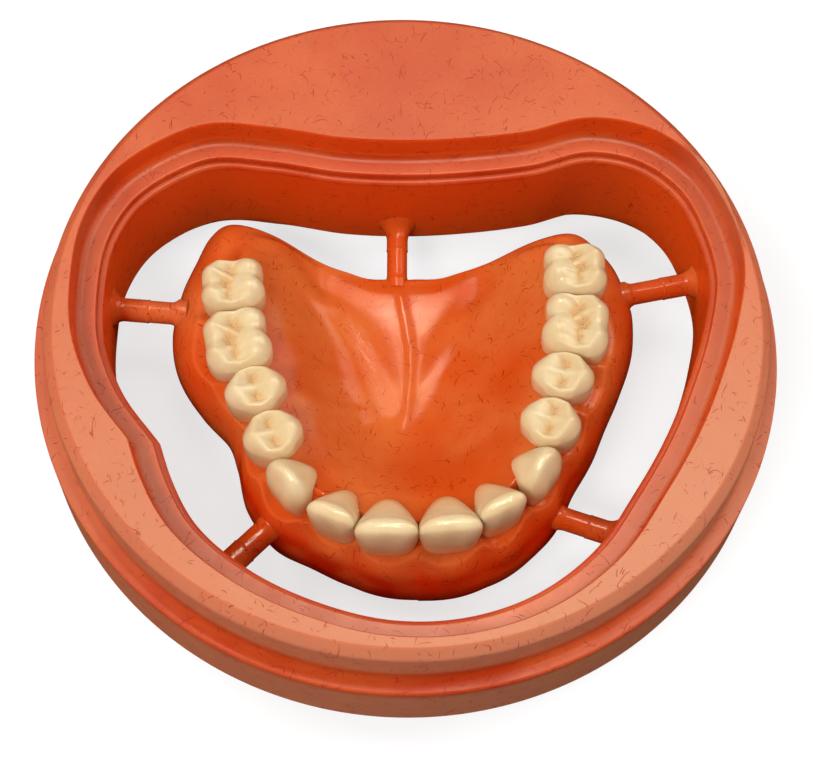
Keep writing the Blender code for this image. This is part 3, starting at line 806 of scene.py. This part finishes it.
def occlusal(shape, half, side, u, v):
    """Height of a back tooth's biting surface, and how much painted shade each place takes, more
    deep in the basins and along the fissures.
    """
    fields = [crest_field(*crest, half, side, u, v) for crest in CRESTS[shape]]
    height = soft_max(fields, CREST_BLEND)
    ranked = np.sort(np.array(fields), axis=0)
    tie = ranked[-1] - ranked[-2]
    inside = 1 - between(np.maximum(np.abs(u) / half, np.abs(v) / side), 0.5, 0.75)
    depth = between(height, -0.8, -1.8) * inside
    line = bell(tie / FISSURE_WIDTH) * depth
    return height - FISSURE_DEPTH * line, np.maximum(0.75 * depth, line)


def back_tooth(tooth):
    """Rings of a back tooth as (along, across, height), its closing points and the painted shade of
    its hollows.
    """
    _, shape, _, _, width, depth, _ = tooth
    half, side = width / 2, depth / 2
    u, v = lobed_outline(shape, half, side)
    rows, hollow_shades = [], []
    for share in np.linspace(0.0, 1.0, BITE_RINGS + 1)[1:]:
        height, fissure = occlusal(shape, half, side, u * share, v * share)
        if shape == "premolar":
            fissure = fissure * bell((np.abs(u * share) / half - PIT_PLACE) / PIT_SPREAD)
        rows.append(np.column_stack([u * share, v * share, height - BITE_ROUND * share**9]))
        hollow_shades.append(fissure)
    edge = rows[-1][:, 2]
    for part in np.linspace(0.0, 1.0, WALL_RINGS + 1)[1:]:
        (size,) = table_at(BACK_SIZES, part)
        height = edge + (-ROOT_DEPTH - edge) * part
        rows.append(np.column_stack([u * size, v * size, height]))
        hollow_shades.append(np.zeros(TOOTH_SIDES))
    middle, fissure = occlusal(shape, half, side, np.zeros(1), np.zeros(1))
    tips = (np.array([0.0, 0.0, middle[0]]), np.array([0.0, 0.0, -ROOT_DEPTH - 0.3]))
    return np.array(rows), tips, np.concatenate([*hollow_shades, fissure])


def tooth_mesh(name, tooth, side):
    if tooth[1] in CRESTS:
        rows, tips, hollow_shades = back_tooth(tooth)
    else:
        rows, tips = front_tooth(tooth)
        hollow_shades = ()
    middle, along, out = tooth_frame(tooth, side)

    def placed(points):
        plan = middle + points[:, :1] * along + points[:, 1:2] * out
        return nest_points(np.column_stack([plan, points[:, 2] + tooth[6]]))

    grid = placed(rows.reshape(-1, 3)).reshape(rows.shape)
    mesh = grid_mesh(name, grid, tips=placed(np.array(tips)))
    heights = np.concatenate([rows[..., 2].ravel(), [tip[2] for tip in tips]])
    add_values(mesh, "crown", between(heights, *CROWN_BLEND))
    add_values(mesh, "fissure", hollow_shades)
    return mesh


# Connector bars


def distance_to(mesh, start, ahead):
    """Distance in millimetres from start to where the line ahead of it first meets the mesh."""
    corners = [vertex.co for vertex in mesh.vertices]
    tree = BVHTree.FromPolygons(corners, [face.vertices for face in mesh.polygons])
    return tree.ray_cast(start * MM, ahead)[3] / MM


def bar_grid(connector, ring, base):
    """Rings of a bar from inside the ring's wall to inside the denture, and its closing points."""
    _, ring_end, denture_end, collar_share, radius, flare, flare_length, foot_flare = connector
    middle = (Vector(ring_end) + Vector(denture_end)) / 2
    ahead = (Vector(denture_end) - Vector(ring_end)).normalized()
    back = distance_to(ring, middle, -ahead)
    probe = middle - Vector((0.0, 0.0, PROBE_DROP))
    length = back + distance_to(base, probe, ahead)
    start = middle - ahead * back
    seam = length * collar_share
    places = np.concatenate(
        [
            np.linspace(-BURIED, seam - SEAM_ZONE - 0.04, 60),
            np.linspace(seam - SEAM_ZONE, seam + SEAM_ZONE, 25),
            np.linspace(seam + SEAM_ZONE + 0.04, length + BURIED, 40),
        ]
    )
    root = np.clip((flare_length - places) / flare_length, 0.0, 1.0)
    foot = np.clip((places - length + FOOT_LENGTH) / FOOT_LENGTH, 0.0, 1.0)
    radii = radius + COLLAR_EXTRA * smoothstep((seam - places) / COLLAR_STEP + 0.5)
    radii = radii + SEAM_RIDGE * bell((places - seam) / SEAM_WIDTH)
    radii = radii + flare * root**FLARE_POWER + foot_flare * foot**FLARE_POWER
    angle = np.linspace(0.0, 2 * math.pi, BAR_SIDES, endpoint=False)
    turn = np.array(ahead.to_track_quat("Z", "Y").to_matrix())
    rows = []
    for place, size in zip(places, radii):
        circle = [size * np.cos(angle), size * np.sin(angle), np.full(BAR_SIDES, place)]
        rows.append(np.column_stack(circle) @ turn.T + np.array(start))
    tips = [np.array([0.0, 0.0, place]) @ turn.T + np.array(start) for place in places[[0, -1]]]
    return np.array(rows), tips


# Materials


class Nodes:
    """Short ways to add the nodes of one material."""

    def __init__(self, name):
        self.material = bpy.data.materials.new(name)
        self.material.use_nodes = True
        self.tree = self.material.node_tree
        self.shader = self.tree.nodes["Principled BSDF"]

    def put(self, socket, value):
        if isinstance(value, bpy.types.NodeSocket):
            self.tree.links.new(value, socket)
        else:
            socket.default_value = value

    def set_shader(self, name, value):
        self.put(self.shader.inputs[name], value)

    def node(self, kind, *values, **settings):
        """A new node with these settings, and with values for its first inputs."""
        made = self.tree.nodes.new(kind)
        for key, value in settings.items():
            setattr(made, key, value)
        for socket, value in zip(made.inputs, values):
            self.put(socket, value)
        return made

    def math(self, operation, first, second=0.0):
        return self.node("ShaderNodeMath", first, second, operation=operation).outputs[0]

    def times(self, first, second):
        return self.math("MULTIPLY", first, second)

    def abs(self, value):
        return self.math("ABSOLUTE", value)

    def vector(self, operation, first, second=(0.0, 0.0, 0.0)):
        made = self.node("ShaderNodeVectorMath", first, second, operation=operation)
        return made.outputs["Value" if operation in ("DOT_PRODUCT", "LENGTH") else "Vector"]

    def scaled(self, vector, factor):
        made = self.node("ShaderNodeVectorMath", vector, operation="SCALE")
        self.put(made.inputs["Scale"], factor)
        return made.outputs["Vector"]

    def parts(self, vector):
        return tuple(self.node("ShaderNodeSeparateXYZ", vector).outputs)

    def ramp(self, value, low, high, out_low=0.0, out_high=1.0):
        """Smooth step of value between low and high."""
        values = (value, low, high, out_low, out_high)
        made = self.node("ShaderNodeMapRange", *values, interpolation_type="SMOOTHSTEP")
        return made.outputs[0]

    def mix(self, share, first, second):
        made = self.node("ShaderNodeMix", data_type="RGBA")
        self.put(made.inputs["Factor"], share)
        self.put(made.inputs[6], first)
        self.put(made.inputs[7], second)
        return made.outputs[2]

    def noise(self, place, scale, detail=2.0, roughness=0.5, output=0):
        made = self.node("ShaderNodeTexNoise")
        self.put(made.inputs["Vector"], place)
        for key, value in (("Scale", scale), ("Detail", detail), ("Roughness", roughness)):
            made.inputs[key].default_value = value
        return made.outputs[output]

    def bump(self, height, strength, distance, normal=None):
        made = self.node("ShaderNodeBump")
        for key, value in (("Strength", strength), ("Distance", distance), ("Height", height)):
            self.put(made.inputs[key], value)
        if normal is not None:
            self.put(made.inputs["Normal"], normal)
        return made.outputs[0]

    def attribute(self, name):
        return self.node("ShaderNodeAttribute", attribute_name=name).outputs["Fac"]


def rgb(red, green, blue):
    """A colour given as display values from 0 to 255, as the linear one that shaders take."""
    linear = []
    for value in (red, green, blue):
        share = value / 255
        linear.append(share / 12.92 if share <= 0.04045 else ((share + 0.055) / 1.055) ** 2.4)
    return (*linear, 1.0)


RING_PALE = rgb(192, 76, 30)
RING_DEEP = rgb(180, 55, 14)
# Pale frost of the disc's milled faces, together with a painted sheen
RING_FROST_SHEEN = rgb(192, 123, 90)
# Painted shade: the more saturated red that the window's walls show in shade
RING_WALL_SHADE = rgb(216, 74, 12)
BASE_PALE = rgb(198, 98, 44)
BASE_DEEP = rgb(190, 70, 18)
# Painted shade of the outer flange
FLANGE_SHADE_RED = rgb(200, 42, 2)
# Painted highlight along the gum's rim ridge
RIM_HIGHLIGHT = rgb(214, 112, 62)
BAR_PALE = rgb(206, 104, 56)
FIBRE_RED = rgb(146, 22, 6)
TOOTH_NECK = rgb(214, 150, 90)
TOOTH_BODY = rgb(206, 180, 136)
TOOTH_PALE = rgb(216, 198, 160)
# Painted shade in the basins and fissures of the back teeth
TOOTH_HOLLOW_SHADE = rgb(202, 154, 100)
TOOTH_STAIN = rgb(110, 86, 60)
RING_ROUGHNESS = 0.38
BASE_ROUGHNESS = 0.09
BAR_ROUGHNESS = 0.15
TOOTH_ROUGHNESS = (0.09, 0.2)
SPECULAR = 0.24
# Scattering under the surface: share, reach of each colour, scale in metres.
PINK_SCATTER = (0.3, (1.0, 0.22, 0.08), 0.003)
TOOTH_SCATTER = (0.35, (1.0, 0.55, 0.25), 0.0012)


def fibres(n, place, normal, seed, cell, half_length, half_width, depth):
    """Mask of short curved fibres that lie in and just under the surface, one to a cell."""
    shifted = n.vector("ADD", place, (seed * 7.3, seed * 3.1, seed * 5.7))
    wander = n.vector("SUBTRACT", n.noise(shifted, 0.35, 1.0, output="Color"), (0.5, 0.5, 0.5))
    bent = n.vector("ADD", shifted, n.scaled(wander, 1.6))
    cells = n.node("ShaderNodeTexVoronoi", voronoi_dimensions="3D", feature="F1")
    n.put(cells.inputs["Vector"], n.scaled(bent, 1.0 / cell))
    cells.inputs["Scale"].default_value = 1.0
    centre = n.scaled(cells.outputs["Position"], cell)
    away = n.vector("SUBTRACT", bent, centre)
    level = n.vector("DOT_PRODUCT", away, normal)
    flat = n.vector("SUBTRACT", away, n.scaled(normal, level))
    random = n.vector("SUBTRACT", cells.outputs["Color"], (0.5, 0.5, 0.5))
    lean = n.vector("DOT_PRODUCT", random, normal)
    heading = n.vector("NORMALIZE", n.vector("SUBTRACT", random, n.scaled(normal, lean)))
    beside = n.vector("CROSS_PRODUCT", normal, heading)
    along = n.vector("DOT_PRODUCT", flat, heading)
    across = n.vector("DOT_PRODUCT", flat, beside)
    curl = n.times(n.parts(random)[0], FIBRE_CURL)
    across = n.math("ADD", across, n.times(curl, n.times(along, along)))
    body = n.ramp(n.abs(across), 0.4 * half_width, 1.6 * half_width, 1.0, 0.0)
    ends = n.ramp(n.abs(along), 0.7 * half_length, half_length, 1.0, 0.0)
    near = n.ramp(n.abs(level), 0.3 * depth, depth, 1.0, 0.0)
    return n.times(body, n.times(ends, near))


def all_fibres(n, place, normal):
    masks = [fibres(n, place, normal, seed + 1, *kind) for seed, kind in enumerate(FIBRES)]
    total = masks[0]
    for mask in masks[1:]:
        total = n.math("MAXIMUM", total, mask)
    return total


def place_in_mm(n):
    """The place on the surface in millimetres, and the surface's direction."""
    geometry = n.node("ShaderNodeNewGeometry")
    coordinates = n.node("ShaderNodeTexCoord")
    return n.scaled(coordinates.outputs["Object"], 1 / MM), geometry.outputs["Normal"]


def set_scatter(n, scatter):
    for name, value in zip(("Weight", "Radius", "Scale"), scatter):
        n.set_shader(f"Subsurface {name}", value)


def frost_and_sheen_mask(n, place, radius, up, face):
    """How much the disc takes its pale frost and painted sheen: its top face most, then its outside
    and the terrace.
    """
    aside, ahead, height = n.parts(place)
    groove = n.abs(n.math("SUBTRACT", height, DISC_MIDDLE + FLANGE_HALF + 0.4))
    # Painted shade: at the front, the groove where the body meets the flange keeps its deep colour,
    # without frost or sheen.
    shaded = n.ramp(ahead, -46.0, -18.0, 1.0, 0.2)
    shaded = n.times(shaded, n.ramp(groove, 0.2, 2.4, 1.0, 0.0))
    outside = n.times(n.ramp(radius, *OUTSIDE_BAND), n.math("SUBTRACT", 1.0, shaded))
    level = n.abs(n.math("SUBTRACT", height, DISC_MIDDLE + TERRACE_HEIGHT))
    terrace = n.times(n.ramp(up, 0.8, 0.97), n.ramp(level, 0.1, 0.5, 0.45, 0.0))
    frost_and_sheen = n.math("MAXIMUM", face, n.times(outside, 0.8))
    frost_and_sheen = n.math("MAXIMUM", frost_and_sheen, terrace)
    # Painted sheen: paler towards the front and the right, where the lamps light the disc.
    frost_and_sheen = n.times(frost_and_sheen, n.ramp(ahead, -35.0, 40.0, 1.0, 0.27))
    return n.times(frost_and_sheen, n.ramp(aside, -45.0, 20.0, 0.78, 1.0))


def wall_shade_mask(n, height, radius, up):
    """The upright faces of the window, apart from those between the ledge and the terrace: where
    the painted shade colour goes.
    """
    upright = n.ramp(n.abs(up), 0.25, 0.6, 0.8, 0.0)
    upright = n.times(upright, n.ramp(radius, *WINDOW_BAND, 1.0, 0.0))
    below = n.ramp(height, *LEDGE_BAND, 1.0, 0.0)
    above = n.ramp(height, *TERRACE_BAND)
    return n.times(upright, n.math("MAXIMUM", below, above))


def pink_acrylic(name, pale, deep, roughness, ring=False):
    n = Nodes(name)
    place, normal = place_in_mm(n)
    cloud = n.noise(place, 0.06, 3.0)
    colour = n.mix(n.ramp(cloud, 0.35, 0.65), pale, deep)
    mottle = n.noise(place, 0.9, 4.0, 0.6)
    colour = n.mix(n.ramp(mottle, 0.35, 0.75, 0.0, 0.22), colour, deep)
    wear = n.noise(place, 0.25, 4.0, 0.6)
    rough = n.ramp(wear, 0.3, 0.7, roughness - 0.03, roughness + 0.06)
    sparkle, strength, depth = n.noise(place, 7.0, 1.0), 0.5, 0.00003
    if ring:
        up, height = n.parts(normal)[2], n.parts(place)[2]
        radius = n.vector("LENGTH", n.vector("MULTIPLY", place, (1.0, 1.0, 0.0)))
        face = n.times(n.ramp(up, 0.75, 0.97), n.ramp(height, *TOP_BAND))
        # Painted shade: the window's upright walls take a more saturated red.
        colour = n.mix(wall_shade_mask(n, height, radius, up), colour, RING_WALL_SHADE)
        # Milled frost of the disc with a painted sheen on it, and painted shade in the front
        # groove.
        colour = n.mix(frost_and_sheen_mask(n, place, radius, up, face), colour, RING_FROST_SHEEN)
        rough = n.math("ADD", rough, n.times(face, 0.12))
        sparkle, strength, depth = n.times(sparkle, face), 0.7, 0.00008
    else:
        # Painted shade on the outer flange, broken into patches.
        patch = n.ramp(n.noise(place, 0.22, 1.0), 0.35, 0.65, 0.55, 1.0)
        colour = n.mix(n.times(n.attribute("flange"), patch), colour, FLANGE_SHADE_RED)
        # Painted highlight along the gum's rim ridge.
        colour = n.mix(n.times(n.attribute("rim"), 0.3), colour, RIM_HIGHLIGHT)
    shown = n.ramp(n.noise(place, 0.5), 0.42, 0.6, 0.08, 0.95)
    colour = n.mix(n.times(all_fibres(n, place, normal), shown), colour, FIBRE_RED)
    bumped = n.bump(n.noise(place, 0.35), 0.3, 0.00014)
    bumped = n.bump(n.noise(place, 2.6, 3.0, 0.6), 0.5, 0.00003, bumped)
    bumped = n.bump(sparkle, strength, depth, bumped)
    n.set_shader("Base Color", colour)
    n.set_shader("Roughness", rough)
    n.set_shader("Normal", bumped)
    n.set_shader("Specular IOR Level", SPECULAR)
    set_scatter(n, PINK_SCATTER)
    return n.material


def ivory_acrylic(name):
    n = Nodes(name)
    place, _ = place_in_mm(n)
    fissure = n.attribute("fissure")
    cloud = n.noise(place, 0.22, 3.0)
    colour = n.mix(n.attribute("crown"), TOOTH_NECK, TOOTH_BODY)
    colour = n.mix(n.ramp(cloud, 0.35, 0.7, 0.0, 0.45), colour, TOOTH_PALE)
    # Painted shade: tan in the basins and fissures, stronger the deeper they lie; dark stain specks
    # follow in the deepest fissures.
    colour = n.mix(n.ramp(fissure, 0.05, 0.7, 0.0, 0.65), colour, TOOTH_HOLLOW_SHADE)
    speck = n.ramp(n.noise(place, 3.2, 3.0, 0.7), 0.52, 0.66)
    dots = n.times(n.ramp(fissure, 0.45, 0.95), speck)
    colour = n.mix(n.times(dots, 0.75), colour, TOOTH_STAIN)
    wear = n.noise(place, 0.6, 3.0, 0.6)
    bumped = n.bump(n.noise(place, 0.9), 0.3, 0.00012)
    bumped = n.bump(n.noise(place, 4.5), 0.6, 0.00006, bumped)
    n.set_shader("Base Color", colour)
    n.set_shader("Roughness", n.ramp(wear, 0.3, 0.7, *TOOTH_ROUGHNESS))
    n.set_shader("Normal", bumped)
    set_scatter(n, TOOTH_SCATTER)
    return n.material


# Studio


def add_floor():
    mesh = bpy.data.meshes.new("floor")
    corners = ((-1, -1), (1, -1), (1, 1), (-1, 1))
    points = [(x * FLOOR_REACH * MM, y * FLOOR_REACH * MM, -FLOOR_DROP * MM) for x, y in corners]
    mesh.from_pydata(points, [], [(0, 1, 2, 3)])
    floor = new_object("floor", mesh)
    n = Nodes("floor_paint")
    place, _ = place_in_mm(n)
    tone = n.ramp(n.noise(place, 0.01), 0.3, 0.7)
    seen = n.node("ShaderNodeLightPath").outputs["Is Camera Ray"]
    n.set_shader("Base Color", n.mix(tone, FLOOR_DARK, FLOOR_LIGHT))
    n.set_shader("Roughness", 0.7)
    n.set_shader("Specular IOR Level", 0.1)
    n.set_shader("Emission Color", (1.0, 1.0, 1.0, 1.0))
    n.set_shader("Emission Strength", n.times(seen, FLOOR_GLOW))
    mesh.materials.append(n.material)
    floor.visible_glossy = False


def add_lamp(name, place, size, power, tint=None):
    """A rectangular lamp. One with a tint shows only in reflections, and one without never."""
    light = bpy.data.lights.new(name, "AREA")
    light.shape = "RECTANGLE"
    light.size, light.size_y = (value * MM for value in size)
    light.energy = power
    item = new_object(name, light)
    item.location = Vector(place) * MM
    toward = Vector(LAMP_AIM) - Vector(place)
    item.rotation_euler = toward.to_track_quat("-Z", "Y").to_euler()
    if tint is None:
        item.visible_glossy = False
    else:
        light.color = tint
        item.visible_diffuse = False


def set_world():
    world = bpy.data.worlds.new("studio_world")
    bpy.context.scene.world = world
    world.use_nodes = True
    background = world.node_tree.nodes["Background"]
    background.inputs["Color"].default_value = (1.0, 1.0, 1.0, 1.0)
    background.inputs["Strength"].default_value = WORLD_STRENGTH
    world.cycles_visibility.glossy = False


def add_camera():
    lens = bpy.data.cameras.new("camera")
    lens.lens = CAMERA_LENS
    lens.sensor_width = 36.0
    lens.clip_start = 0.01
    camera = new_object("camera", lens)
    elevation, roll = CAMERA_ELEVATION, CAMERA_ROLL
    ahead = Vector((0.0, math.cos(elevation), -math.sin(elevation)))
    up = Vector((0.0, math.sin(elevation), math.cos(elevation)))
    right = Vector((1.0, 0.0, 0.0))
    right, up = (
        math.cos(roll) * right + math.sin(roll) * up,
        math.cos(roll) * up - math.sin(roll) * right,
    )
    matrix = Matrix((right, up, -ahead)).transposed().to_4x4()
    matrix.translation = Vector(CAMERA_PLACE) * MM
    camera.matrix_world = matrix
    bpy.context.scene.camera = camera


def build():
    ring_look = pink_acrylic("ring_acrylic_look", RING_PALE, RING_DEEP, RING_ROUGHNESS, ring=True)
    base_look = pink_acrylic("base_acrylic_look", BASE_PALE, BASE_DEEP, BASE_ROUGHNESS)
    bar_look = pink_acrylic("connector_acrylic_look", BAR_PALE, BASE_DEEP, BAR_ROUGHNESS)
    tooth_look = ivory_acrylic("tooth_acrylic_look")
    ring = grid_mesh("disc_frame_fine", ring_grid())
    add_piece(ring, ring_look, "disc_frame")
    base = base_mesh()
    add_piece(base, base_look, "denture_base")
    for side, side_name in ((-1, "left"), (1, "right")):
        for tooth in TEETH:
            node = f"tooth_{side_name}_{tooth[0]}"
            mesh = tooth_mesh(f"{node}_fine", tooth, side)
            add_piece(mesh, tooth_look, node)
    for connector in CONNECTORS:
        node = connector[0]
        grid, tips = bar_grid(connector, ring, base)
        mesh = grid_mesh(f"{node}_fine", grid, tips=tips)
        add_piece(mesh, bar_look, node)
    add_floor()
    set_world()
    for lamp in LAMPS:
        add_lamp(*lamp)
    add_camera()
    bpy.context.scene.view_settings.view_transform = "Standard"


build()
